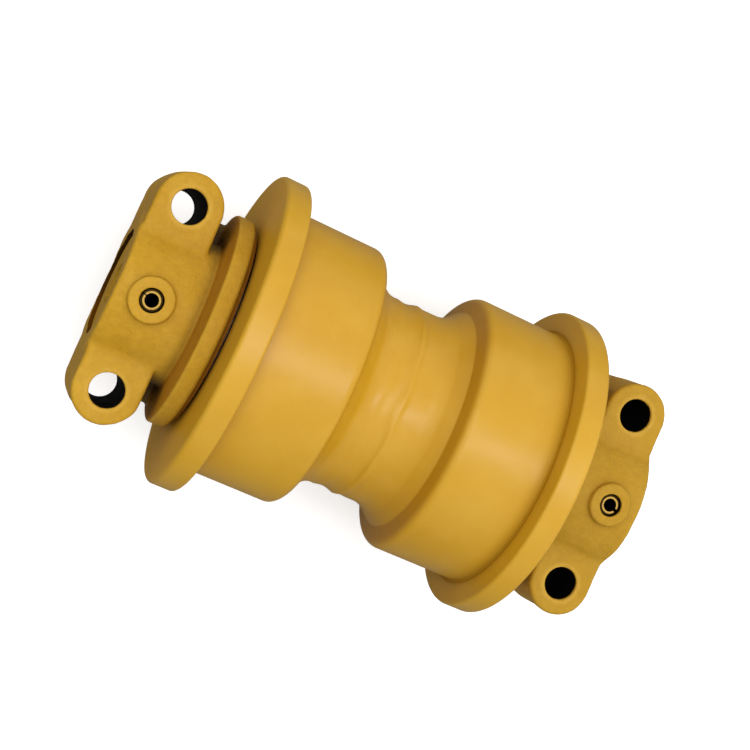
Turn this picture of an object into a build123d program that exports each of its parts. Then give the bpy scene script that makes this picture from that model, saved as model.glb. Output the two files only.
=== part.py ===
from build123d import *
import os
from math import sqrt, cos, sin, radians, hypot, atan2, tan, pi

# Crawler-tractor track roller (bottom roller), outer-flanged both ends.
# Units mm.  +Y is the roller axis, +Z is the bolt-head / pin side of the end
# collars, the flat mounting pads face -Z.  Origin at the middle of the roller.
# In the machine the pads (-Z here) bolt up against the track frame.

# ---------------------------------------------------------------- dimensions
# shell, outside
FLANGE_R = 108.0
FLANGE_IN_Y = 99.5
FLANGE_OUT_Y = 117.5
TREAD_R = 91.0
TREAD_IN_Y = 37.5
NECK_R = 67.3
FLARE_Y = 22.0
FLARE_R = 78.0
SEAM_R = 68.5
SEAM_Y = 1.5
# shell, inside
OIL_CHAMBER_R = 48.0
WELD_FLASH_R = 45.5
BUSH_SEAT_R = 46.0
BUSH_IN_Y = 50.0
RECESS_Y = 102.0
RECESS_R = 55.0
CUP_R = 63.0
SHELL_CUP_Y = 108.0
# bushing
BACK_BORE_R = 41.5
BACK_FLANGE_Y = 106.0
LINING_BORE_R = 40.05
THRUST_FACE_Y = 107.5
# shaft
JOURNAL_R = 40.0
SHAFT_END_R = 35.0
SHOULDER_Y = 108.0
SHAFT_END_Y = 187.2
GALLERY_R = 5.0
ORING_Y = 146.0
ORING_GROOVE_R = 32.6
ORING_GROOVE_W = 4.0
# collar
COLLAR_BORE_R = 35.02
NOSE_R = 48.0
HUB_R = 49.0
HUB_END_Y = 189.5
DISC_R = 72.5
DISC_IN_Y = 118.6
DISC_IN_ROUND = 3.6
DISC_OUT_Y = 133.4
COLLAR_CUP_Y = 131.4
PAD_Z = -38.0
PAD_IN_Y = 141.0
PAD_STEP = 1.5
EAR_Z = 31.0
EAR_R = 22.4
BOLT_X = 62.4
BOLT_Y = 166.2
BOLT_HOLE_R = 11.0
EAR_END_Y = 188.8
WEB_X = 65.0
WEB_Z = -8.0
BOSS_R = 14.6
BOSS_Z = 52.0
# collar pin
PIN_R = 7.0
PIN_BORE_R = 4.5
PIN_SLOT = 2.4
PIN_SLOT_CLOSED = 0.8
PIN_TOP_Z = 50.4
PIN_BOTTOM_Z = 10.4
PIN_HOLE_Z = 9.0
# floating seal
SEAL_PLANE_Y = 119.7
SEAL_FACE_GAP = 0.05
RING_IN_R = 49.6
RING_BODY_R = 54.5
RING_LIP_R = 60.0
TORIC_R = 58.75
TORIC_SECTION_R = 4.2
TORIC_OFFSET_Y = 7.1
# oil plug in the -Y end of the shaft
PLUG_THREAD_R = 8.0
PLUG_HEAD_R = 12.0
PLUG_SEAT_Y = -178.0


# ------------------------------------------------------------------- helpers
def rounded_face(points):
    """Closed face in the XY plane from (x, y, corner_radius) points."""
    n = len(points)
    starts, ends, mids = [], [], []
    for i in range(n):
        x0, y0, _ = points[i - 1]
        x1, y1, r = points[i]
        x2, y2, _ = points[(i + 1) % n]
        if r <= 0:
            starts.append((x1, y1)); ends.append((x1, y1)); mids.append(None)
            continue
        ax, ay = x0 - x1, y0 - y1
        bx, by = x2 - x1, y2 - y1
        la, lb = hypot(ax, ay), hypot(bx, by)
        ax, ay, bx, by = ax / la, ay / la, bx / lb, by / lb
        dot = max(-1.0, min(1.0, ax * bx + ay * by))
        half = 0.5 * atan2(sqrt(1 - dot * dot), dot)
        t = r / tan(half)
        hx, hy = ax + bx, ay + by
        lh = hypot(hx, hy)
        hx, hy = hx / lh, hy / lh
        d = r / sin(half)
        starts.append((x1 + ax * t, y1 + ay * t))
        ends.append((x1 + bx * t, y1 + by * t))
        mids.append((x1 + hx * (d - r), y1 + hy * (d - r)))
    edges = []
    for i in range(n):
        if mids[i] is not None:
            edges.append(ThreePointArc(starts[i], mids[i], ends[i]).edge())
        j = (i + 1) % n
        if hypot(ends[i][0] - starts[j][0], ends[i][1] - starts[j][1]) > 1e-6:
            edges.append(Line(ends[i], starts[j]).edge())
    return Face(Wire(edges))


def lathe(points):
    return Solid.revolve(rounded_face(points), 360, Axis.Y)


def y_cyl(radius, y0, y1, x=0.0, z=0.0):
    return Plane(origin=(x, y0, z), x_dir=(1, 0, 0), z_dir=(0, 1, 0)) * \
        Cylinder(radius, y1 - y0, align=(Align.CENTER, Align.CENTER, Align.MIN))


def z_cyl(radius, z0, z1, x=0.0, y=0.0):
    return Pos(x, y, z0) * Cylinder(radius, z1 - z0,
                                    align=(Align.CENTER, Align.CENTER, Align.MIN))


def block(x0, x1, y0, y1, z0, z1):
    return Pos((x0 + x1) / 2, (y0 + y1) / 2, (z0 + z1) / 2) * \
        Box(x1 - x0, y1 - y0, z1 - z0)


def one(shape):
    solids = shape.solids()
    assert len(solids) == 1, len(solids)
    return solids[0]


def flip(shape):
    return shape.mirror(Plane.XZ)


os.makedirs("parts", exist_ok=True)


def save(name, shape):
    shape.label = name
    export_step(shape, "parts/" + name + ".step")
    print(name, round(shape.volume, 1))


# -------------------------------------------------------------- roller shell
# One friction-welded forging: two treads with outer flanges, a waisted neck
# with the weld seam, bushing seats, oil chamber and the two seal cups.
outer = [
    (SEAM_R, SEAM_Y, 2.5), (NECK_R, SEAM_Y + 3.6, 3.0),
    (NECK_R, FLARE_Y, 18.0), (FLARE_R, TREAD_IN_Y - 3.1, 1.6),
    (TREAD_R, TREAD_IN_Y, 6.0),
    (TREAD_R, FLANGE_IN_Y, 1.6), (FLANGE_R, FLANGE_IN_Y + 1.0, 2.0),
    (FLANGE_R, FLANGE_OUT_Y, 3.0),
    (CUP_R + 1.0, FLANGE_OUT_Y, 0.0), (CUP_R, FLANGE_OUT_Y - 1.0, 0.0),
    (CUP_R, SHELL_CUP_Y, 1.0),
    (RECESS_R, SHELL_CUP_Y, 0.0), (RECESS_R, RECESS_Y, 0.0),
    (BUSH_SEAT_R, RECESS_Y, 0.0), (BUSH_SEAT_R, BUSH_IN_Y - 2.0, 0.0),
    (OIL_CHAMBER_R, BUSH_IN_Y - 4.0, 0.0), (OIL_CHAMBER_R, 5.0, 2.0),
    (WELD_FLASH_R, 1.5, 2.0),
]
inner = [
    (WELD_FLASH_R, -1.5, 2.0), (OIL_CHAMBER_R, -5.0, 2.0),
    (OIL_CHAMBER_R, -BUSH_IN_Y + 4.0, 0.0), (BUSH_SEAT_R, -BUSH_IN_Y + 2.0, 0.0),
    (BUSH_SEAT_R, -RECESS_Y, 0.0), (RECESS_R, -RECESS_Y, 0.0),
    (RECESS_R, -SHELL_CUP_Y, 0.0), (CUP_R, -SHELL_CUP_Y, 1.0),
    (CUP_R, -FLANGE_OUT_Y + 1.0, 0.0), (CUP_R + 1.0, -FLANGE_OUT_Y, 0.0),
    (FLANGE_R, -FLANGE_OUT_Y, 3.0),
    (FLANGE_R, -FLANGE_IN_Y - 1.0, 2.0), (TREAD_R, -FLANGE_IN_Y, 1.6),
    (TREAD_R, -TREAD_IN_Y, 6.0), (FLARE_R, -TREAD_IN_Y + 3.1, 1.6),
    (NECK_R, -FLARE_Y, 18.0),
    (NECK_R, SEAM_Y - 3.6, 3.0),
]
roller_shell = lathe(outer + inner)
save("roller_shell", roller_shell)

# --------------------------------------------------------------------- shaft
c = 0.8
shaft = lathe([
    (0, -SHAFT_END_Y, 0), (SHAFT_END_R - c, -SHAFT_END_Y, 0),
    (SHAFT_END_R, -SHAFT_END_Y + c, 0), (SHAFT_END_R, -SHOULDER_Y, 0),
    (JOURNAL_R - 1, -SHOULDER_Y, 0), (JOURNAL_R, -SHOULDER_Y + 1, 0),
    (JOURNAL_R, SHOULDER_Y - 1, 0), (JOURNAL_R - 1, SHOULDER_Y, 0),
    (SHAFT_END_R, SHOULDER_Y, 0), (SHAFT_END_R, SHAFT_END_Y - c, 0),
    (SHAFT_END_R - c, SHAFT_END_Y, 0), (0, SHAFT_END_Y, 0),
])
for s in (-1, 1):
    w = ORING_GROOVE_W / 2
    ring = y_cyl(SHAFT_END_R + 2, s * ORING_Y - w, s * ORING_Y + w) \
        - y_cyl(ORING_GROOVE_R, s * ORING_Y - w - 1, s * ORING_Y + w + 1)
    shaft = shaft - ring
    shaft = shaft - z_cyl(PIN_R, PIN_HOLE_Z, 60, 0, s * BOLT_Y)
# axial oil gallery from the -Y end, with the radial feeds on the unloaded side
shaft = shaft - y_cyl(GALLERY_R, -SHAFT_END_Y - 1, 80)
shaft = shaft - y_cyl(PLUG_THREAD_R, -SHAFT_END_Y - 1, PLUG_SEAT_Y + 13)
shaft = shaft - y_cyl(PLUG_HEAD_R + 1.5, -SHAFT_END_Y - 1, PLUG_SEAT_Y)
for y in (-76, 0, 76):
    shaft = shaft - z_cyl(3.0, -JOURNAL_R - 1, 0, 0, y)
# lathe centre in the +Y end
shaft = shaft - Plane(origin=(0, SHAFT_END_Y + 0.01, 0), z_dir=(0, -1, 0)) * \
    Cone(6.0, 2.0, 5.0, align=(Align.CENTER, Align.CENTER, Align.MIN))
shaft = one(shaft)
save("shaft", shaft)

# ------------------------------------------------------------------- collars
# Cast end collar, built for the +Y end and mirrored for the other.
disc = lathe([
    (NOSE_R - 4, DISC_IN_Y, 0), (DISC_R, DISC_IN_Y, DISC_IN_ROUND), (DISC_R, DISC_OUT_Y, 2.2),
    (55.5, DISC_OUT_Y + 2.3, 4.0), (HUB_R - 1.5, DISC_OUT_Y + 5.5, 0),
    (NOSE_R - 4, DISC_OUT_Y + 5.5, 0),
])
hub = y_cyl(HUB_R, DISC_IN_Y + 3, HUB_END_Y)
hub = fillet(hub.faces().sort_by(Axis.Y)[-1].edges(), 2.4)
ears = Pos(0, 0, PAD_Z) * extrude(rounded_face([
    (-BOLT_X - EAR_R, BOLT_Y - EAR_R, 22.1), (BOLT_X + EAR_R, BOLT_Y - EAR_R, 22.1),
    (BOLT_X + EAR_R, BOLT_Y + EAR_R + 0.0, 22.1),
    (-BOLT_X - EAR_R, BOLT_Y + EAR_R + 0.0, 22.1)]), EAR_Z - PAD_Z)
ears = one(ears)
ears = one(ears.fillet(2.4, ears.faces().sort_by(Axis.Z)[-1].edges()))
web = block(-WEB_X, WEB_X, DISC_OUT_Y - 3, BOLT_Y - 16, PAD_Z, WEB_Z)
web = fillet(web.edges().filter_by(Axis.Y).group_by(Axis.Z)[-1], 10.0)
below = block(-120, 120, DISC_OUT_Y + 1.0, 200, -200, PAD_Z)

body = hub - below
body = body + ears
body = body + web
body = body + disc
boss = Pos(0, BOLT_Y, EAR_Z + 6) * Cone(BOSS_R + 0.7, BOSS_R, BOSS_Z - EAR_Z - 6,
                                        align=(Align.CENTER, Align.CENTER, Align.MIN))
body = body + boss
body = one(body)


def try_fillet(shape, edges, radii, tag):
    edges = list(edges)
    for r in radii:
        try:
            out = shape.fillet(r, edges)
            if out.is_valid and len(out.solids()) == 1:
                print("  fillet", tag, r, "on", len(edges))
                return one(out)
        except Exception:
            pass
    print("  fillet", tag, "skipped on", len(edges))
    return shape


def near(edge, z=None, tol=0.05):
    bb = edge.bounding_box()
    return abs(bb.min.Z - z) < tol and abs(bb.max.Z - z) < tol


# crease between ear flats and hub
crease = [e for e in body.edges()
          if near(e, EAR_Z) and abs(abs(e.center().X) - sqrt(HUB_R**2 - EAR_Z**2)) < 1.0
          and 150 < e.center().Y < 185]
body = try_fillet(body, crease, (4.0, 3.0, 2.0), "crease")
boss_top = [e for e in body.edges() if near(e, BOSS_Z)]
body = try_fillet(body, boss_top, (1.4, 1.0), "boss top")
# the disc's root is cut back level with the mounting pad, and the pad starts
# a little way out from the disc
body = body - block(-120, 120, DISC_OUT_Y, 200, -200, PAD_Z)
body = one(body - block(-120, 120, DISC_OUT_Y, PAD_IN_Y, -200, PAD_Z + PAD_STEP))

nose = y_cyl(NOSE_R, SHOULDER_Y, COLLAR_CUP_Y + 2)
nose = nose.chamfer(1.0, 1.0, nose.faces().sort_by(Axis.Y)[0].edges())
cup = y_cyl(CUP_R, DISC_IN_Y - 1, COLLAR_CUP_Y) - y_cyl(NOSE_R, DISC_IN_Y - 2, COLLAR_CUP_Y + 1)
body = body - cup
body = body + nose
body = body - y_cyl(COLLAR_BORE_R, 100, 200)
lead = Plane(origin=(0, HUB_END_Y + 0.01, 0), z_dir=(0, -1, 0)) * \
    Cone(COLLAR_BORE_R + 0.8, COLLAR_BORE_R, 0.8, align=(Align.CENTER, Align.CENTER, Align.MIN))
body = body - lead
for s in (-1, 1):
    body = body - z_cyl(BOLT_HOLE_R, PAD_Z - 1, EAR_Z + 1, s * BOLT_X, BOLT_Y)
body = body - z_cyl(PIN_R, 20, BOSS_Z + 1, 0, BOLT_Y)
body = body - z_cyl(PIN_R + 0.7, BOSS_Z - 5.5, BOSS_Z + 1, 0, BOLT_Y)
collar_right = one(body)
save("collar_right", collar_right)
collar_left = one(flip(collar_right))
save("collar_left", collar_left)

# ---------------------------------------------------------------- collar pins
# Two slotted spring pins of one size, one radially through each collar boss.
# The left one sits closed up tighter, so its slot is narrower.
pins = []
for s, a, slot in ((-1, 250.0, PIN_SLOT_CLOSED), (1, 68.0, PIN_SLOT)):
    p = z_cyl(PIN_R, PIN_BOTTOM_Z, PIN_TOP_Z)
    p = p.chamfer(1.3, 1.3, p.faces().sort_by(Axis.Z)[-1].edges())
    p = p.chamfer(1.3, 1.3, p.faces().sort_by(Axis.Z)[0].edges())
    p = p - z_cyl(PIN_BORE_R, PIN_BOTTOM_Z - 1, PIN_TOP_Z + 1)
    p = p - Rot(0, 0, a) * block(2, 9, -slot / 2, slot / 2,
                                 PIN_BOTTOM_Z - 1, PIN_TOP_Z + 1)
    pins.append(one(Pos(0, s * BOLT_Y, 0) * p))
save("collar_pins", Compound(pins))

# ---------------------------------------------------- bimetal flanged bushings
back = lathe([
    (BACK_BORE_R, BUSH_IN_Y, 0), (BUSH_SEAT_R - 0.8, BUSH_IN_Y, 0),
    (BUSH_SEAT_R, BUSH_IN_Y + 0.8, 0), (BUSH_SEAT_R, RECESS_Y, 0),
    (RECESS_R, RECESS_Y, 0), (RECESS_R, BACK_FLANGE_Y, 0),
    (BACK_BORE_R, BACK_FLANGE_Y, 0),
])
lining = lathe([
    (LINING_BORE_R, BUSH_IN_Y + 0.6, 0), (LINING_BORE_R + 0.6, BUSH_IN_Y, 0),
    (BACK_BORE_R, BUSH_IN_Y, 0), (BACK_BORE_R, BACK_FLANGE_Y, 0),
    (RECESS_R - 0.5, BACK_FLANGE_Y, 0), (RECESS_R - 0.5, THRUST_FACE_Y, 0),
    (LINING_BORE_R + 0.8, THRUST_FACE_Y, 0), (LINING_BORE_R, THRUST_FACE_Y - 0.8, 0),
])
# two oil grooves along the bore and four across the thrust face
for a in (45, 225):
    g = Rot(0, a, 0) * block(LINING_BORE_R - 2, LINING_BORE_R + 0.8, 56, THRUST_FACE_Y + 1, -2, 2)
    lining = lining - g
for a in (0, 90, 180, 270):
    g = Rot(0, a + 45, 0) * block(LINING_BORE_R - 2, RECESS_R + 1, THRUST_FACE_Y - 0.8,
                                  THRUST_FACE_Y + 1, -2, 2)
    lining = lining - g
lining = one(lining)
save("bushing_back_right", back)
save("bushing_back_left", one(flip(back)))
save("bushing_lining_right", lining)
save("bushing_lining_left", one(flip(lining)))

# ------------------------------------------------------- floating face seals
g = SEAL_FACE_GAP / 2
rot_ring = lathe([
    (RING_IN_R, SEAL_PLANE_Y - g, 0), (RING_IN_R, SEAL_PLANE_Y - 9.3, 0.6),
    (RING_BODY_R, SEAL_PLANE_Y - 9.3, 0.8), (RING_BODY_R, SEAL_PLANE_Y - 2.8, 0),
    (RING_LIP_R, SEAL_PLANE_Y - 2.8, 0.5), (RING_LIP_R, SEAL_PLANE_Y - g, 0.5),
])
toric = Plane(origin=(0, SEAL_PLANE_Y - TORIC_OFFSET_Y, 0), z_dir=(0, 1, 0)) * \
    Torus(TORIC_R, TORIC_SECTION_R)
toric = one(toric)
across = Plane(origin=(0, SEAL_PLANE_Y, 0), x_dir=(1, 0, 0), z_dir=(0, 1, 0))
fix_ring = one(rot_ring.mirror(across))
fix_toric = one(toric.mirror(across))
save("seal_ring_rotating_right", rot_ring)
save("seal_ring_fixed_right", fix_ring)
save("seal_toric_rotating_right", toric)
save("seal_toric_fixed_right", fix_toric)
save("seal_ring_rotating_left", one(flip(rot_ring)))
save("seal_ring_fixed_left", one(flip(fix_ring)))
save("seal_toric_rotating_left", one(flip(toric)))
save("seal_toric_fixed_left", one(flip(fix_toric)))

# -------------------------------------------------------------- shaft O-rings
oring = lathe([
    (ORING_GROOVE_R + 0.02, ORING_Y - 1.5, 1.1), (SHAFT_END_R, ORING_Y - 1.5, 1.1),
    (SHAFT_END_R, ORING_Y + 1.5, 1.1), (ORING_GROOVE_R + 0.02, ORING_Y + 1.5, 1.1),
])
save("shaft_oring_right", oring)
save("shaft_oring_left", one(flip(oring)))

# ------------------------------------------------------ oil plug and its washer
washer = y_cyl(PLUG_HEAD_R - 0.5, PLUG_SEAT_Y - 1.5, PLUG_SEAT_Y) \
    - y_cyl(PLUG_THREAD_R + 0.1, PLUG_SEAT_Y - 3, PLUG_SEAT_Y + 1)
washer = one(washer)
save("plug_washer", washer)
plug = y_cyl(PLUG_THREAD_R, PLUG_SEAT_Y - 2, PLUG_SEAT_Y + 10) \
    + y_cyl(PLUG_HEAD_R, PLUG_SEAT_Y - 4.5, PLUG_SEAT_Y - 1.5)
plug = one(plug)
plug = plug.chamfer(0.6, 0.6, plug.faces().sort_by(Axis.Y)[0].edges())
plug = plug.chamfer(1.0, 1.0, plug.faces().sort_by(Axis.Y)[-1].edges())
hexa = Plane(origin=(0, PLUG_SEAT_Y - 5, 0), x_dir=(1, 0, 0), z_dir=(0, 1, 0)) * \
    extrude(RegularPolygon(8 / sqrt(3), 6), 7.5)
plug = one(plug - hexa)
save("oil_plug", plug)
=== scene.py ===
import bpy, math
import numpy as np
from mathutils import Matrix, Vector


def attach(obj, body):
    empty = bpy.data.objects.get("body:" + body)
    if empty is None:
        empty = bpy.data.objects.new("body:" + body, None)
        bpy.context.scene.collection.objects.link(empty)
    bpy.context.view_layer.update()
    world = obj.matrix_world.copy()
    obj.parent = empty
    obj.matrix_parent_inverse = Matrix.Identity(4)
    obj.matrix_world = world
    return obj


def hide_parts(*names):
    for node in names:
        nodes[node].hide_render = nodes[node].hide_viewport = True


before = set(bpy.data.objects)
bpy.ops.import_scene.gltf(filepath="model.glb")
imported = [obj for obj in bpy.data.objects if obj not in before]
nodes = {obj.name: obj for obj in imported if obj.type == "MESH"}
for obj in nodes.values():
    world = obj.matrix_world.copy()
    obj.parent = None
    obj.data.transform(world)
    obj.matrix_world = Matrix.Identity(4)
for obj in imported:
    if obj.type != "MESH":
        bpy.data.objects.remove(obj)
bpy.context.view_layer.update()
scene = bpy.context.scene
MM = 0.001


# ===================================================================== helpers
def mesh_object(name, verts, faces, smooth=True):
    me = bpy.data.meshes.new(name)
    verts = np.asarray(verts, dtype=np.float32)
    faces = [np.asarray(f, dtype=np.int32) for f in faces if len(f)]
    nl = sum(f.size for f in faces)
    npoly = sum(len(f) for f in faces)
    me.vertices.add(len(verts))
    me.vertices.foreach_set("co", verts.ravel())
    me.loops.add(nl)
    me.loops.foreach_set("vertex_index", np.concatenate([f.ravel() for f in faces]))
    me.polygons.add(npoly)
    tot = np.concatenate([np.full(len(f), f.shape[1], dtype=np.int32) for f in faces])
    start = np.concatenate([[0], np.cumsum(tot)[:-1]]).astype(np.int32)
    me.polygons.foreach_set("loop_start", start)
    me.polygons.foreach_set("loop_total", tot)
    me.update(calc_edges=True)
    me.validate()
    if smooth:
        me.polygons.foreach_set("use_smooth", np.ones(len(me.polygons), dtype=bool))
    o = bpy.data.objects.new(name, me)
    scene.collection.objects.link(o)
    return o


def rounded_profile(points, arc_step=0.35):
    """(r, y, corner_radius) corners -> closed polyline."""
    out = []
    n = len(points)
    for i in range(n):
        p0 = np.array(points[i - 1][:2], float)
        p1 = np.array(points[i][:2], float)
        p2 = np.array(points[(i + 1) % n][:2], float)
        r = points[i][2]
        if r <= 0:
            out.append(p1); continue
        a = p0 - p1; b = p2 - p1
        a /= np.linalg.norm(a); b /= np.linalg.norm(b)
        half = 0.5 * math.acos(max(-1, min(1, float(a @ b))))
        t = r / math.tan(half)
        h = a + b; h /= np.linalg.norm(h)
        c = p1 + h * (r / math.sin(half))
        s = p1 + a * t; e = p1 + b * t
        a0 = math.atan2(*(s - c)[::-1]); a1 = math.atan2(*(e - c)[::-1])
        da = (a1 - a0 + math.pi) % (2 * math.pi) - math.pi
        m = max(3, int(abs(da) * r / arc_step))
        for j in range(m + 1):
            q = a0 + da * j / m
            out.append(c + r * np.array([math.cos(q), math.sin(q)]))
    return np.array(out)


def resample(poly, step):
    pts = []
    n = len(poly)
    for i in range(n):
        a, b = poly[i], poly[(i + 1) % n]
        d = np.linalg.norm(b - a)
        if d < 1e-6:
            continue
        m = max(1, int(math.ceil(d / step)))
        for j in range(m):
            pts.append(a + (b - a) * j / m)
    return np.array(pts)


def waves(seed, n=14, kmax=9, ymax=0.12):
    """Smooth periodic field over angle and y, from a fixed seed, about -1..1."""
    rng = np.random.default_rng(seed)
    k = rng.integers(0, kmax + 1, n)
    ky = rng.uniform(-ymax, ymax, n)
    ph = rng.uniform(0, 2 * math.pi, n)
    am = rng.uniform(0.4, 1.0, n)
    am /= am.sum() * 0.45

    def f(th, y):
        out = np.zeros(np.broadcast(th, y).shape)
        for i in range(n):
            out += am[i] * np.sin(k[i] * th + ky[i] * y + ph[i])
        return out
    return f


def lathe_object(name, profile, n_ang, radial=None):
    p = profile
    th = np.linspace(0, 2 * math.pi, n_ang, endpoint=False)
    R = np.repeat(p[:, 0][:, None], n_ang, 1)
    Y = np.repeat(p[:, 1][:, None], n_ang, 1)
    T = np.repeat(th[None, :], len(p), 0)
    if radial is not None:
        R, Y = radial(R, Y, T)
    V = np.stack([R * np.sin(T), Y, R * np.cos(T)], -1).reshape(-1, 3) * MM
    i = np.arange(len(p))[:, None]; j = np.arange(n_ang)[None, :]
    i2 = (i + 1) % len(p); j2 = (j + 1) % n_ang
    a = (i * n_ang + j).ravel(); b = (i * n_ang + j2).ravel()
    c = (i2 * n_ang + j2).ravel(); d = (i2 * n_ang + j).ravel()
    F = np.stack([a, b, c, d], 1)
    # outward winding, from the signed area of the profile
    x, y = p[:, 0], p[:, 1]
    area = 0.5 * np.sum(x * np.roll(y, -1) - np.roll(x, -1) * y)
    if area > 0:
        F = F[:, ::-1]
    return mesh_object(name, V, [F])


# =================================================================== the shell
def shell():
    right = [
        (67.8, 1.0, 0), (67.8, 22.0, 18.0), (78.0, 34.4, 1.6), (91, 37.5, 6.5), (91, 99.5, 1.0),
        (108, 100.5, 2.0), (108, 117.5, 3.0), (64, 117.5, 0.5), (63, 116.5, 0.4),
        (63, 108, 1.0), (55, 108, 0.4), (55, 102, 0), (46, 102, 0), (46, 48, 0),
        (48, 46, 0), (48, 5, 2), (45.5, 1.5, 2)]
    left = [
        (45.5, -1.5, 2), (48, -5, 2), (48, -46, 0), (46, -48, 0), (46, -102, 0),
        (55, -102, 0), (55, -108, 0.4), (63, -108, 1.0), (63, -116.5, 0.4),
        (64, -117.5, 0.5), (108, -117.5, 3.0), (108, -100.5, 2.0), (91, -99.5, 1.0),
        (91, -37.5, 6.5), (78.0, -34.4, 1.6), (67.2, -22.0, 18.0), (67.2, -1.0, 0)]
    prof = resample(rounded_profile(right + left), 0.9)
    w1, w2, w3 = waves(11, 16, 7, 0.10), waves(12, 18, 5, 0.25), waves(13, 12, 4, 0.02)
    w4 = waves(17, 26, 22, 0.55)
    w7, w8 = waves(23, 30, 18, 0.35), waves(24, 40, 34, 0.8)
    w5, w6 = waves(18, 12, 14, 0.02), waves(19, 10, 6, 0.02)

    def radial(R, Y, T):
        out = np.clip((R - 60) / 4, 0, 1)              # outside surface only
        neck = out * np.clip((80 - R) / 8, 0, 1) * (np.abs(Y) < 36)
        s = 0.8 + 2.6 * w3(T, Y * 0) + 1.1 * w5(T, Y * 0)     # the seam wanders
        u = Y - s
        bump = 1.15 * np.exp(-(u / 3.0) ** 2) * (0.72 + 0.35 * w1(T, Y * 0))
        step = 0.55 * np.tanh((u - 3.8) / 2.0) * np.exp(-((u - 3.8) / 4.4) ** 2) * (0.5 + 0.75 * w6(T, Y * 0))
        bump = bump + np.exp(-(u / 6.5) ** 2) * (0.30 * w7(T, Y) + 0.16 * w8(T, Y))
        valley = -0.65 * np.exp(-((Y + 7.8 - 0.8 * s) / 4.4) ** 2)
        lip = 0.40 * np.exp(-((Y + 13.8 - 1.2 * s) / 2.6) ** 2) * (0.5 + 0.6 * w6(T + 1.0, Y * 0))
        R = R + neck * (bump - step + valley + lip + 0.26 * w1(T, Y) + 0.17 * w2(T, Y)
                        + 0.07 * w4(T, Y))
        tread = out * (1 - neck)
        R = R + tread * (0.05 * w1(T, Y))
        # forged faces of the flanges are not quite flat
        side = out * (np.abs(Y) > 95)
        Y = Y + side * np.sign(Y) * (0.10 * w3(T, R * 3) - 0.10)
        return R, Y
    o = lathe_object("shell_forging", prof, 640, radial)
    return o


# ================================================================= the collars
def smin(a, b, k):
    h = np.clip(0.5 + 0.5 * (b - a) / k, 0, 1)
    return b + (a - b) * h - k * h * (1 - h)


def smax(a, b, k):
    return -smin(-a, -b, k)


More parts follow.
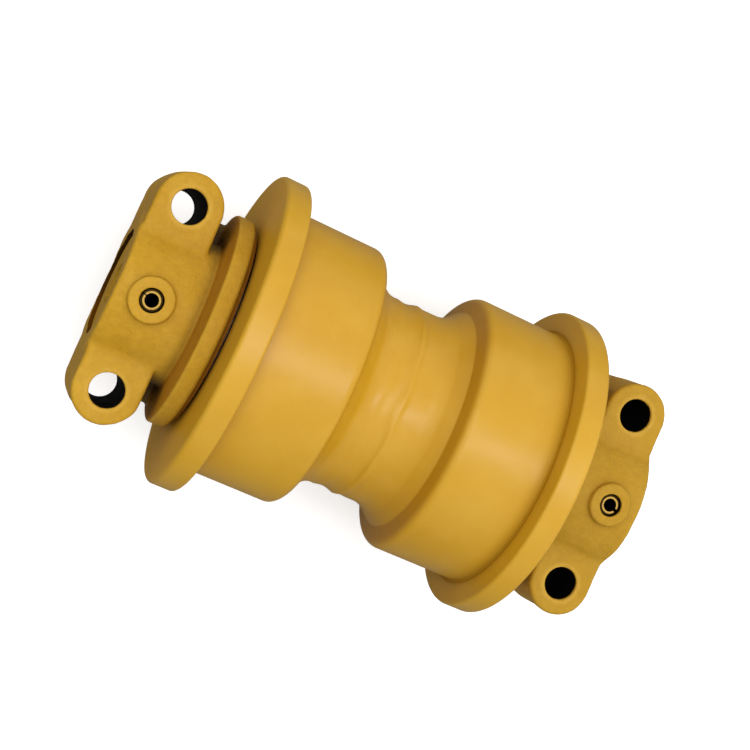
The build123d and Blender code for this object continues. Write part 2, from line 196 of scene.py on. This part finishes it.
def collar_field(seed, h):
    ax = np.arange(-88, 88 + h, h, dtype=np.float32)
    ay = np.arange(105.5, 192.5 + h, h, dtype=np.float32)
    az = np.arange(-75.2, 75.2 + h, h, dtype=np.float32)
    X = ax[:, None, None]; Y = ay[None, :, None]; Z = az[None, None, :]
    RY = np.sqrt(X * X + Z * Z)

    def cyl(d_r, d_l, rnd):
        a = d_r + rnd; b = d_l + rnd
        return np.minimum(np.maximum(a, b), 0) + np.sqrt(np.maximum(a, 0) ** 2 + np.maximum(b, 0) ** 2) - rnd
    # hub with a slightly proud crown
    hub = cyl(RY - 49.1, np.abs(Y - 155.25) - 34.25, 2.6)
    # ears, one long round-ended slab with draft on its sides
    qx = np.maximum(np.abs(X) - 62.4, 0)
    ear2 = np.sqrt(qx ** 2 + (Y - 166.2) ** 2) - 22.4 + 0.010 * (Z + 5)
    ears = cyl(ear2, np.abs(Z - (-4.5)) - 35.5, 2.6)
    # the web and pad block under the ears, towards the disc
    d3 = [np.abs(X) - 65.0 + 0.06 * (Z + 38), np.abs(Y - 141.0) - 13.0, np.abs(Z + 25.5) - 15.5]
    r = 4.0
    q = [d + r for d in d3]
    web = np.sqrt(sum(np.maximum(v, 0) ** 2 for v in q)) + \
        np.minimum(np.maximum(np.maximum(q[0], q[1]), q[2]), 0) - r
    body = smin(hub, ears, 2.6)
    body = smin(body, web, 4.5)
    # disc: tighter round outboard, a full shoulder towards the flange
    disc = np.maximum(cyl(RY - 72.5, np.abs(Y - 127.3) - 6.1, 2.0),
                      cyl(RY - 72.5, np.abs(Y - 138.6) - 17.4, 2.8))
    # dished root: a shallow cone from the hub to the disc face
    cone = np.maximum((Y - 133.4) + (RY - 69.0) * 0.10, np.maximum(RY - 69.5, 124.0 - Y))
    laby = cyl(RY - 68.2, np.abs(Y - 123.6) - 5.0, 1.6)     # step down to the flange
    disc = np.minimum(smin(disc, cone, 1.0), laby)
    body = smin(body, disc, 1.8)
    # pad plane, with a small step between the pad and the disc
    body = smax(body, -np.maximum(Z + 38.0, 133.4 - Y), 0.9)
    body = smax(body, -np.maximum(Z + 36.5, np.maximum(133.4 - Y, Y - 141.0)), 0.9)
    boss = cyl(np.sqrt(X ** 2 + (Y - 166.2) ** 2) - 14.7 - 0.03 * (52 - Z), np.abs(Z - 41.0) - 11.0, 1.5)
    body = smin(body, boss, 2.2)
    # cast skin: gentle unevenness in the field itself
    rng = np.random.default_rng(seed)
    skin = np.zeros(body.shape, dtype=np.float32)
    for lam, amp, cnt in ((34.0, 0.22, 6), (15.0, 0.12, 9), (6.5, 0.055, 12)):
        for _ in range(cnt):
            v = rng.normal(size=3); v *= 2 * math.pi / lam / np.linalg.norm(v)
            skin += (amp / math.sqrt(cnt)) * np.sin(v[0] * X + v[1] * Y + v[2] * Z + rng.uniform(0, 6.283))
    keep = 1 / (1 + np.exp(-(Y - 134.0) / 3.0))         # rim and seal side are turned
    body = body + (skin * keep + 0.10).astype(np.float32)
    # the mounting pads are machined flat, after the skin
    body = smax(body, -np.maximum(Z + 38.0, 133.4 - Y), 0.4)
    # turned seal side: cup, nose
    cup = np.maximum(np.maximum(RY - 63.0, 48.0 - RY), np.maximum(Y - 131.4, 110 - Y))
    body = smax(body, -cup, 0.6)
    nose = cyl(RY - 48.0, np.abs(Y - 122.0) - 14.0, 1.0)
    body = np.minimum(body, nose)
    body = smax(body, 35.02 - RY, 0.5)
    body = smax(body, (35.0 + (Y - 188.7)) - RY, 0.4)     # lead chamfer
    for s in (-1, 1):
        hole = np.sqrt((X - s * 62.4) ** 2 + (Y - 166.2) ** 2) - 11.0
        body = smax(body, -hole, 1.2)
        flare = hole - np.maximum(Z - 30.0, 0) * 0.9
        body = smax(body, -flare, 1.0)
    pin = np.sqrt(X ** 2 + (Y - 166.2) ** 2)
    body = smax(body, -np.maximum(pin - 7.05, 20 - Z), 0.4)
    body = smax(body, -np.maximum(pin - 7.7, 46.5 - Z), 0.4)
    return body.astype(np.float32), (ax[0], ay[0], az[0])


def collar(name, side, seed):
    import openvdb
    h = 0.8
    field, org = collar_field(seed, h)
    g = openvdb.FloatGrid(8.0)
    g.copyFromArray(np.ascontiguousarray(field))
    pts, tris, quads = g.convertToPolygons(0.0, 0.0)
    pts = pts.astype(np.float64) * h + np.array(org)
    flipw = side < 0
    if side < 0:
        pts[:, 1] *= -1
    faces = []
    for f in (tris, quads):
        if len(f):
            f = f.astype(np.int32)
            faces.append(f[:, ::-1] if flipw else f)
    o = mesh_object(name, pts * MM, faces)
    me = o.data
    # make sure the winding points outwards
    v = np.empty(len(me.vertices) * 3, dtype=np.float32); me.vertices.foreach_get("co", v)
    n = np.empty(len(me.polygons) * 3, dtype=np.float32); me.polygons.foreach_get("normal", n)
    c = np.empty(len(me.polygons) * 3, dtype=np.float32); me.polygons.foreach_get("center", c)
    a = np.empty(len(me.polygons), dtype=np.float32); me.polygons.foreach_get("area", a)
    if float(((n.reshape(-1, 3) * c.reshape(-1, 3)).sum(1) * a).sum()) < 0:
        me.flip_normals()
    return o


# =================================================================== materials
def lin(r, g, b):
    f = lambda c: ((c / 255 + 0.055) / 1.055) ** 2.4 if c > 10 else c / 255 / 12.92
    return (f(r), f(g), f(b), 1.0)


class Nodes:
    def __init__(self, name):
        self.m = bpy.data.materials.new(name)
        self.m.use_nodes = True
        self.t = self.m.node_tree
        self.b = self.t.nodes["Principled BSDF"]
        self.co = self.t.nodes.new("ShaderNodeTexCoord").outputs["Object"]

    def n(self, kind, **kw):
        x = self.t.nodes.new(kind)
        for k, v in kw.items():
            setattr(x, k, v)
        return x

    def link(self, a, b):
        self.t.links.new(a, b)

    def put(self, sock, val):
        if isinstance(val, bpy.types.NodeSocket):
            self.link(val, sock)
        else:
            sock.default_value = val

    def noise(self, scale, detail=4.0, rough=0.55, vec=None, dist=0.0):
        x = self.n("ShaderNodeTexNoise")
        x.inputs["Scale"].default_value = scale
        x.inputs["Detail"].default_value = detail
        x.inputs["Roughness"].default_value = rough
        x.inputs["Distortion"].default_value = dist
        self.link(vec if vec is not None else self.co, x.inputs["Vector"])
        return x.outputs["Fac"]

    def ramp(self, fac, a, b, ca, cb):
        x = self.n("ShaderNodeMapRange")
        x.clamp = True
        self.put(x.inputs["Value"], fac)
        x.inputs["From Min"].default_value = a
        x.inputs["From Max"].default_value = b
        x.inputs["To Min"].default_value = ca
        x.inputs["To Max"].default_value = cb
        return x.outputs["Result"]

    def math(self, op, a, b=0.0):
        x = self.n("ShaderNodeMath", operation=op)
        self.put(x.inputs[0], a); self.put(x.inputs[1], b)
        return x.outputs[0]

    def mix(self, fac, a, b, blend="MIX"):
        x = self.n("ShaderNodeMix", data_type="RGBA", blend_type=blend)
        self.put(x.inputs[0], fac)
        self.put(x.inputs[6], a); self.put(x.inputs[7], b)
        return x.outputs[2]

    def bump(self, h, strength, dist, prev=None):
        x = self.n("ShaderNodeBump")
        x.inputs["Strength"].default_value = strength
        x.inputs["Distance"].default_value = dist
        self.link(h, x.inputs["Height"])
        if prev is not None:
            self.link(prev, x.inputs["Normal"])
        return x.outputs["Normal"]

    def scaled(self, sx, sy, sz):
        x = self.n("ShaderNodeMapping")
        x.inputs["Scale"].default_value = (sx, sy, sz)
        self.link(self.co, x.inputs["Vector"])
        return x.outputs["Vector"]


def paint(name, base, dark, light, rough, grain, grain_amp, soft_amp, streaks=0.0, holes=False):
    k = Nodes(name)
    pos = k.n("ShaderNodeSeparateXYZ"); k.link(k.co, pos.inputs[0])
    far = k.math("ABSOLUTE", pos.outputs[1])              # distance along the axis
    big = k.noise(7.0, 3.0)
    mid = k.noise(38.0, 5.0, 0.6)
    col = k.mix(k.ramp(big, 0.35, 0.68, 0.0, 1.0), dark, base)
    col = k.mix(k.ramp(mid, 0.42, 0.75, 0.0, 0.35), col, light)
    # painted shade: hollows found by ambient occlusion are darkened toward brown; convex edges are lightened, partly
    # thicker pale film and partly painted highlight
    ao = k.n("ShaderNodeAmbientOcclusion"); ao.inputs["Distance"].default_value = 0.010
    ao.samples = 8
    hollow_shade = k.ramp(ao.outputs["AO"], 0.35, 0.95, 1.0, 0.0)
    col = k.mix(k.math("MULTIPLY", hollow_shade, 0.75 if holes else 0.50), col, (0.13, 0.055, 0.006, 1) if holes else (0.22, 0.085, 0.006, 1))
    geo = k.n("ShaderNodeNewGeometry")
    edge = k.ramp(geo.outputs["Pointiness"], 0.515, 0.56, 0.0, 0.35)
    col = k.mix(edge, col, light)
    # fine dust specks
    sp = k.noise(420.0, 2.0, 0.5)
    col = k.mix(k.ramp(sp, 0.66, 0.74, 0.0, 0.16 if holes else 0.06), col, (0.17, 0.10, 0.03, 1))
    if holes:
        # painted shade: tight creases, found by short-range ambient occlusion, darkened to a brown line
        ao2 = k.n("ShaderNodeAmbientOcclusion"); ao2.inputs["Distance"].default_value = 0.0045
        ao2.samples = 8
        tight = k.ramp(ao2.outputs["AO"], 0.45, 0.93, 1.0, 0.0)
        col = k.mix(k.math("MULTIPLY", tight, 0.62), col, (0.12, 0.045, 0.004, 1))
        # mottled film over the sand-cast skin
        mot = k.noise(210.0, 4.0, 0.7)
        col = k.mix(k.ramp(mot, 0.36, 0.64, 0.22, 0.0), col, (0.28, 0.14, 0.010, 1))
        # painted shade: the disc's dished outboard face, turned away from the light, painted browner
        dish = k.math("MULTIPLY", k.ramp(far, 0.1327, 0.1333, 0.0, 1.0), k.ramp(far, 0.1352, 0.1362, 1.0, 0.0))
        col = k.mix(k.math("MULTIPLY", dish, 0.66), col, (0.36, 0.135, 0.008, 1))
        # painted shade: the step beside the flange painted brown for the shade in the gap
        seam = k.ramp(far, 0.1206, 0.1216, 1.0, 0.0)
        col = k.mix(k.math("MULTIPLY", seam, 0.80), col, (0.30, 0.115, 0.008, 1))
        # painted shade: the +Y casting painted darker for the dimmer light at that end
        plus_y_shade = k.ramp(pos.outputs[1], 0.10, 0.13, 0.0, 0.30)
        col = k.mix(plus_y_shade, col, (0.30, 0.165, 0.012, 1))
        # painted shade: the pockets between the ears and the disc painted near-black
        px = k.ramp(k.math("ABSOLUTE", pos.outputs[0]), 0.042, 0.050, 0.0, 1.0)
        py = k.math("MULTIPLY", k.ramp(far, 0.1335, 0.1350, 0.0, 1.0), k.ramp(far, 0.1440, 0.1480, 1.0, 0.0))
        pz = k.ramp(pos.outputs[2], 0.022, 0.030, 1.0, 0.0)
        pocket_shade = k.math("MULTIPLY", k.math("MULTIPLY", px, py), pz)
        col = k.mix(k.math("MULTIPLY", pocket_shade, 0.72), col, (0.016, 0.010, 0.006, 1))
    else:
        # painted shade: the tread shoulders that look inboard, away from the light, painted browner
        nw = k.n("ShaderNodeSeparateXYZ"); k.link(geo.outputs["Normal"], nw.inputs[0])
        ny = k.math("ABSOLUTE", nw.outputs[1])
        sh = k.math("MULTIPLY", k.ramp(ny, 0.55, 0.90, 0.0, 1.0), k.ramp(far, 0.040, 0.044, 1.0, 0.0))
        col = k.mix(k.math("MULTIPLY", sh, 0.42), col, (0.33, 0.13, 0.006, 1))
        rr = k.math("SQRT", k.math("ADD", k.math("MULTIPLY", pos.outputs[0], pos.outputs[0]),
                                   k.math("MULTIPLY", pos.outputs[2], pos.outputs[2])))
        # painted shade: the fillet at the flange root painted brown, with less specular, to put out its bright line
        root = k.math("MULTIPLY", k.math("MULTIPLY", k.ramp(far, 0.0979, 0.0984, 0.0, 1.0), k.ramp(far, 0.1004, 0.1010, 1.0, 0.0)),
                      k.ramp(rr, 0.0930, 0.0945, 1.0, 0.0))
        col = k.mix(k.math("MULTIPLY", root, 0.55), col, (0.33, 0.140, 0.007, 1))
        # flat outboard faces: less specular, with a paler olive base as painted light in place of the reflection taken
        # off
        face = k.math("MULTIPLY", k.ramp(far, 0.1166, 0.1172, 0.0, 1.0), k.ramp(ny, 0.80, 0.95, 0.0, 1.0))
        col = k.mix(k.math("MULTIPLY", face, 0.55), col, (0.74, 0.40, 0.030, 1))
    if holes:
        # bolt-hole mouths lightened, partly thick pale film and partly painted highlight; inside the bolt holes, the
        # pin-hole gap and the bore end, bare steel painted near-black as painted shade
        xyz = k.n("ShaderNodeSeparateXYZ"); k.link(k.co, xyz.inputs[0])
        ax = k.math("ABSOLUTE", xyz.outputs[0]); ay = k.math("ABSOLUTE", xyz.outputs[1])
        dy = k.math("SUBTRACT", ay, 0.1662)
        dy2 = k.math("MULTIPLY", dy, dy)
        dx = k.math("SUBTRACT", ax, 0.0624)
        dh = k.math("SQRT", k.math("ADD", k.math("MULTIPLY", dx, dx), dy2))
        dp = k.math("SQRT", k.math("ADD", k.math("MULTIPLY", ax, ax), dy2))
        wob = k.math("MULTIPLY", k.math("SUBTRACT", k.noise(160.0, 3.0), 0.5), 0.004)
        deep = k.ramp(k.math("ADD", xyz.outputs[2], wob), 0.0285, 0.0300, 1.0, 0.0)
        bore = k.math("MULTIPLY", k.ramp(dh, 0.0114, 0.0119, 1.0, 0.0), deep)
        mouth = k.math("MULTIPLY", k.ramp(k.math("ADD", dh, wob), 0.0122, 0.0150, 1.0, 0.0), k.math("SUBTRACT", 1.0, deep))
        col = k.mix(k.math("MULTIPLY", mouth, 0.55), col, light)
        pinb = k.math("MULTIPLY", k.ramp(dp, 0.0080, 0.0084, 1.0, 0.0), k.ramp(xyz.outputs[2], 0.0505, 0.0512, 1.0, 0.0))
        az = k.math("ABSOLUTE", xyz.outputs[2])
        ry = k.math("SQRT", k.math("ADD", k.math("MULTIPLY", ax, ax), k.math("MULTIPLY", az, az)))
        endb = k.math("MULTIPLY", k.ramp(k.math("ADD", ry, k.math("MULTIPLY", wob, 0.4)), 0.0359, 0.0365, 1.0, 0.0), k.ramp(ay, 0.180, 0.182, 0.0, 1.0))
        bare = k.math("MAXIMUM", k.math("MAXIMUM", bore, pinb), endb)
        # painted shade at the bore end: black toward -X, rust brown toward +X where light reaches
        rust_and_shade_x = k.ramp(k.math("ADD", xyz.outputs[0], k.math("MULTIPLY", wob, 4.0)), -0.012, 0.026, 0.0, 1.0)
        endc = k.mix(rust_and_shade_x, (0.034, 0.014, 0.0015, 1), (0.130, 0.045, 0.003, 1))
        col = k.mix(bare, col, k.mix(endb, (0.004, 0.0035, 0.003, 1), endc))
        k.put(k.b.inputs["Specular IOR Level"], k.math("SUBTRACT", 0.19, k.math("MULTIPLY", bare, 0.18)))
        k.put(k.b.inputs["Coat Weight"], k.math("MULTIPLY", k.math("SUBTRACT", 1.0, bare), 0.04))
    else:
        k.put(k.b.inputs["Coat Weight"], k.math("SUBTRACT", 0.06, k.math("MULTIPLY", k.math("MAXIMUM", face, root), 0.06)))
        k.put(k.b.inputs["Specular IOR Level"], k.math("SUBTRACT", 0.40, k.math("MAXIMUM", k.math("MULTIPLY", face, 0.33), k.math("MULTIPLY", root, 0.38))))
    k.put(k.b.inputs["Base Color"], col)
    r = k.math("ADD", k.ramp(mid, 0.3, 0.7, rough - 0.05, rough + 0.07), k.math("MULTIPLY", hollow_shade, 0.12))
    k.put(k.b.inputs["Roughness"], r)
    k.b.inputs["IOR"].default_value = 1.5
    k.b.inputs["Specular Tint"].default_value = (1.0, 0.92, 0.72, 1) if holes else (1.0, 1.0, 0.98, 1)
    k.b.inputs["Coat Roughness"].default_value = 0.30
    nrm = k.bump(k.noise(90.0, 3.0), 1.0, soft_amp)
    nrm = k.bump(k.noise(grain, 3.0, 0.6), 1.0, grain_amp, nrm)
    if streaks > 0:
        turn = k.noise(1.0, 3.0, 0.7, k.scaled(3.0, 900.0, 3.0))
        nrm = k.bump(turn, 1.0, streaks, nrm)
    k.link(nrm, k.b.inputs["Normal"])
    return k.m


def metal(name, col, col2, rough, turn=0.0, turn_scale=900.0, axis="y", fine=0.00002, cast=0.0, oil=0.0):
    k = Nodes(name)
    n1 = k.noise(60.0, 4.0)
    c = k.mix(k.ramp(n1, 0.3, 0.7, 0.0, 1.0), col, col2)
    if oil:
        c = k.mix(k.ramp(k.noise(22.0, 5.0, 0.6), 0.45, 0.7, 0.0, oil), c, (0.05, 0.035, 0.015, 1))
    k.put(k.b.inputs["Base Color"], c)
    k.b.inputs["Metallic"].default_value = 0.9
    lines = k.noise(1.0, 2.0, 0.6, k.scaled(6.0, turn_scale, 6.0) if axis == "y" else k.scaled(turn_scale, 6.0, turn_scale))
    k.put(k.b.inputs["Roughness"], k.ramp(lines, 0.3, 0.7, rough - 0.06, rough + 0.10))
    nrm = k.bump(k.noise(1400.0, 2.0), 1.0, fine)
    if turn:
        nrm = k.bump(lines, 1.0, turn, nrm)
    if cast:
        nrm = k.bump(k.noise(700.0, 4.0, 0.65), 1.0, cast, nrm)
    k.link(nrm, k.b.inputs["Normal"])
    return k.m


def rubber(name):
    k = Nodes(name)
    n1 = k.noise(120.0, 5.0)
    k.put(k.b.inputs["Base Color"], k.mix(k.ramp(n1, 0.3, 0.7, 0, 1), (0.012, 0.012, 0.013, 1), (0.035, 0.034, 0.033, 1)))
    k.put(k.b.inputs["Roughness"], k.ramp(n1, 0.3, 0.7, 0.42, 0.62))
    nrm = k.bump(k.noise(1500.0, 3.0), 1.0, 0.00003)
    k.link(nrm, k.b.inputs["Normal"])
    return k.m


YEL = (0.630, 0.345, 0.014, 1)
YEL_D = (0.570, 0.295, 0.009, 1)
YEL_L = (0.680, 0.400, 0.045, 1)
CY = (0.600, 0.340, 0.020, 1)
CY_D = (0.530, 0.282, 0.014, 1)
CY_L = (0.680, 0.410, 0.060, 1)
m_shell = paint("shell_enamel", YEL, YEL_D, YEL_L, 0.335, 520.0, 0.00003, 0.00016, 0.00001)
m_collar = paint("collar_enamel", CY, CY_D, CY_L, 0.50, 430.0, 0.00058, 0.00050, holes=True)
m_bush = metal("turned_bushing_steel", (0.42, 0.42, 0.43, 1), (0.33, 0.33, 0.34, 1), 0.36, 0.00003, 800.0)
m_bronze = metal("bearing_bronze", (0.60, 0.36, 0.13, 1), (0.47, 0.26, 0.09, 1), 0.34, 0.00002, 900.0, oil=0.25)
m_seal = metal("seal_ring_iron", (0.30, 0.30, 0.31, 1), (0.20, 0.20, 0.21, 1), 0.38, 0.00002, 700.0, cast=0.00004)
m_rubber = rubber("seal_rubber_black")
m_plug = metal("plug_dark_steel", (0.16, 0.16, 0.17, 1), (0.09, 0.09, 0.095, 1), 0.42, fine=0.00003)
m_washer = metal("washer_aluminium", (0.62, 0.62, 0.63, 1), (0.48, 0.48, 0.49, 1), 0.40, fine=0.00003)


def pin_material():
    """Spring pin: painted over on its flat outer end; near-black as painted shade down the chamfer, sides and bore."""
    k = Nodes("collar_pin_painted_end")
    geo = k.n("ShaderNodeNewGeometry")
    sx = k.n("ShaderNodeSeparateXYZ"); k.link(geo.outputs["Normal"], sx.inputs[0])
    side = k.ramp(sx.outputs["Z"], 0.40, 0.60, 0.0, 0.10)
    up = k.math("MAXIMUM", side, k.ramp(sx.outputs["Z"], 0.73, 0.82, 0.0, 1.0))
    n1 = k.noise(300.0, 4.0)
    up = k.math("MULTIPLY", up, k.ramp(n1, 0.25, 0.45, 0.55, 1.0))
    # painted shade: the chamfer, sides and bore are near-black
    k.put(k.b.inputs["Base Color"], k.mix(up, (0.008, 0.006, 0.004, 1), (0.60, 0.36, 0.06, 1)))
    k.put(k.b.inputs["Roughness"], k.ramp(n1, 0.3, 0.7, 0.40, 0.60))
    k.put(k.b.inputs["Specular IOR Level"], k.math("ADD", k.math("MULTIPLY", up, 0.22), 0.06))
    k.link(k.bump(n1, 1.0, 0.00006), k.b.inputs["Normal"])
    return k.m


m_pin = pin_material()


def dress(o, m):
    o.data.materials.clear()
    o.data.materials.append(m)


def shaft_material():
    """Ground journals; the end faces are painted with the collars, the pin holes are painted near-black as painted
    shade.
    """
    m = metal("ground_shaft_steel", (0.50, 0.50, 0.51, 1), (0.38, 0.37, 0.36, 1), 0.30, 0.00002, 1200.0, oil=0.5)
    k = Nodes.__new__(Nodes)
    k.m = m; k.t = m.node_tree; k.b = k.t.nodes["Principled BSDF"]
    k.co = k.t.nodes.new("ShaderNodeTexCoord").outputs["Object"]
    xyz = k.n("ShaderNodeSeparateXYZ"); k.link(k.co, xyz.inputs[0])
    ay = k.math("ABSOLUTE", xyz.outputs[1])
    ry = k.math("SQRT", k.math("ADD", k.math("MULTIPLY", xyz.outputs[0], xyz.outputs[0]),
                               k.math("MULTIPLY", xyz.outputs[2], xyz.outputs[2])))
    recess = k.math("MULTIPLY", k.ramp(ry, 0.0142, 0.0146, 1.0, 0.0), k.ramp(ay, 0.1770, 0.1775, 0.0, 1.0))
    end = k.math("MAXIMUM", k.ramp(ay, 0.1862, 0.1866, 0.0, 1.0), recess)
    dy = k.math("SUBTRACT", ay, 0.1662)
    dp = k.math("SQRT", k.math("ADD", k.math("MULTIPLY", xyz.outputs[0], xyz.outputs[0]), k.math("MULTIPLY", dy, dy)))
    # painted shade: the pin-hole walls are near-black
    hole = k.math("MULTIPLY", k.ramp(dp, 0.0072, 0.0076, 1.0, 0.0), k.ramp(xyz.outputs[2], 0.0, 0.004, 0.0, 1.0))
    old = k.b.inputs["Base Color"].links[0].from_socket
    film = k.mix(k.ramp(k.noise(90.0, 5.0), 0.36, 0.66, 0.0, 1.0), CY_D, CY)
    film = k.mix(k.ramp(k.noise(240.0, 4.0, 0.7), 0.36, 0.60, 0.25, 0.0), film, (0.28, 0.14, 0.010, 1))
    k.put(k.b.inputs["Base Color"], k.mix(hole, k.mix(end, old, film), (0.004, 0.003, 0.002, 1)))
    f = k.math("MAXIMUM", end, hole)
    k.put(k.b.inputs["Metallic"], k.math("SUBTRACT", 0.9, k.math("MULTIPLY", f, 0.9)))
    k.put(k.b.inputs["Specular IOR Level"], k.math("SUBTRACT", 0.5, k.math("MULTIPLY", f, 0.32)))
    k.put(k.b.inputs["Roughness"], k.ramp(f, 0.0, 1.0, 0.32, 0.52))
    return m


m_shaft = shaft_material()
for name, o in nodes.items():
    if name == "roller_shell":
        dress(o, m_shell)
    elif name.startswith("collar_l") or name.startswith("collar_r"):
        dress(o, m_collar)
    elif name == "collar_pins":
        dress(o, m_pin)
    elif name == "shaft":
        dress(o, m_shaft)
    elif name.startswith("bushing_back"):
        dress(o, m_bush)
    elif name.startswith("bushing_lining"):
        dress(o, m_bronze)
    elif name.startswith("seal_ring"):
        dress(o, m_seal)
    elif name.startswith("seal_toric") or name.startswith("shaft_oring"):
        dress(o, m_rubber)
    elif name == "oil_plug":
        dress(o, m_plug)
    else:
        dress(o, m_washer)
for name in ("shaft", "collar_pins", "oil_plug", "plug_washer"):
    o = nodes[name]
    b = o.modifiers.new("edge_break", "BEVEL")
    b.width = 0.00035; b.segments = 2; b.limit_method = "ANGLE"; b.angle_limit = math.radians(35)
    b.harden_normals = True

o_shell = shell(); dress(o_shell, m_shell)
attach(o_shell, "roller"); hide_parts("roller_shell")
o_cr = collar("collar_right_casting", 1, 21); dress(o_cr, m_collar)
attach(o_cr, "axle"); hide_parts("collar_right")
o_cl = collar("collar_left_casting", -1, 22); dress(o_cl, m_collar)
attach(o_cl, "axle"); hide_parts("collar_left")

# ======================================================================= stage
bpy.ops.mesh.primitive_plane_add(size=6.0, location=(0, 0, -0.1085))
floor = bpy.context.object
floor.name = "pale_floor"
k = Nodes("pale_floor")
lp = k.n("ShaderNodeLightPath")
fl = k.noise(3.0, 2.0)
k.put(k.b.inputs["Base Color"], k.mix(lp.outputs["Is Camera Ray"], (0.20, 0.20, 0.20, 1),
                                      k.mix(k.ramp(fl, 0.3, 0.7, 0, 1), (0.90, 0.90, 0.90, 1), (0.93, 0.93, 0.93, 1))))
k.b.inputs["Roughness"].default_value = 0.9
k.b.inputs["Specular IOR Level"].default_value = 0.1
k.b.inputs["Emission Color"].default_value = (1, 1, 1, 1)
k.put(k.b.inputs["Emission Strength"], k.math("MULTIPLY", lp.outputs["Is Camera Ray"], 0.42))
floor.data.materials.append(k.m)

# soft surround, brighter from above and from the +Y side, dim from -Y
w = bpy.data.worlds.new("studio"); scene.world = w
w.use_nodes = True
t = w.node_tree
bg = t.nodes["Background"]
tc = t.nodes.new("ShaderNodeTexCoord")
dp = t.nodes.new("ShaderNodeVectorMath"); dp.operation = "DOT_PRODUCT"
t.links.new(tc.outputs["Generated"], dp.inputs[0])
d = Vector((-0.32, 0.32, 0.87)).normalized()
dp.inputs[1].default_value = d
mr = t.nodes.new("ShaderNodeMapRange")
mr.interpolation_type = "SMOOTHSTEP"
mr.inputs["From Min"].default_value = -0.75
mr.inputs["From Max"].default_value = 0.75
mr.inputs["To Min"].default_value = 0.17
mr.inputs["To Max"].default_value = 0.96
t.links.new(dp.outputs["Value"], mr.inputs["Value"])
lpw = t.nodes.new("ShaderNodeLightPath")
mx = t.nodes.new("ShaderNodeMix"); mx.data_type = "FLOAT"
t.links.new(lpw.outputs["Is Camera Ray"], mx.inputs[0])
t.links.new(mr.outputs["Result"], mx.inputs[2])
mx.inputs[3].default_value = 0.98
t.links.new(mx.outputs[0], bg.inputs["Strength"])
bg.inputs["Color"].default_value = (1, 1, 1, 1)


def area(name, loc, target, sx, sy, power, color=(1, 1, 1)):
    L = bpy.data.lights.new(name, "AREA")
    L.shape = "RECTANGLE"; L.size = sx; L.size_y = sy; L.energy = power; L.color = color
    o = bpy.data.objects.new(name, L)
    scene.collection.objects.link(o)
    o.location = loc
    o.rotation_euler = (Vector(target) - Vector(loc)).to_track_quat("-Z", "Y").to_euler()
    return o


area("key_softbox", (-0.16, -0.10, 1.25), (0, -0.10, 0), 0.30, 0.85, 2.3)
area("gloss_softbox", (-0.10, 0.90, 3.05), (0, 0, 0), 0.75, 1.3, 15.0)
area("left_fill", (-0.15, -0.95, 1.5), (0, -0.15, 0), 0.8, 0.8, 2.4, (1.0, 0.93, 0.80))


# ====================================================================== camera
cw = np.array([1.6107628937746017, 2.4924060621468187, 0.33984204073311797])
ct = np.array([-7.220858864535336, 12.95875503817215, 1029.2274402844853]) * (108.0 / 111.0)
fpx, cx, cy = 1497.103630182447, 382.91900974638236, 379.4637276576687
an = np.linalg.norm(cw); kk = cw / an
K = np.array([[0, -kk[2], kk[1]], [kk[2], 0, -kk[0]], [-kk[1], kk[0], 0]])
Rm = np.eye(3) + math.sin(an) * K + (1 - math.cos(an)) * K @ K
pos = (-Rm.T @ ct) * MM
cam_data = bpy.data.cameras.new("camera")
cam = bpy.data.objects.new("camera", cam_data)
scene.collection.objects.link(cam)
M = np.eye(4)
M[:3, 0] = Rm[0]; M[:3, 1] = -Rm[1]; M[:3, 2] = -Rm[2]; M[:3, 3] = pos
cam.matrix_world = Matrix(M.tolist())
cam_data.sensor_width = 36.0
cam_data.lens = fpx * 36.0 / 750.0
cam_data.shift_x = (375.0 - cx) / 750.0
cam_data.shift_y = (cy - 375.0) / 750.0
cam_data.clip_start = 0.01
scene.camera = cam
scene.view_settings.view_transform = "Standard"
scene.view_settings.look = "None"
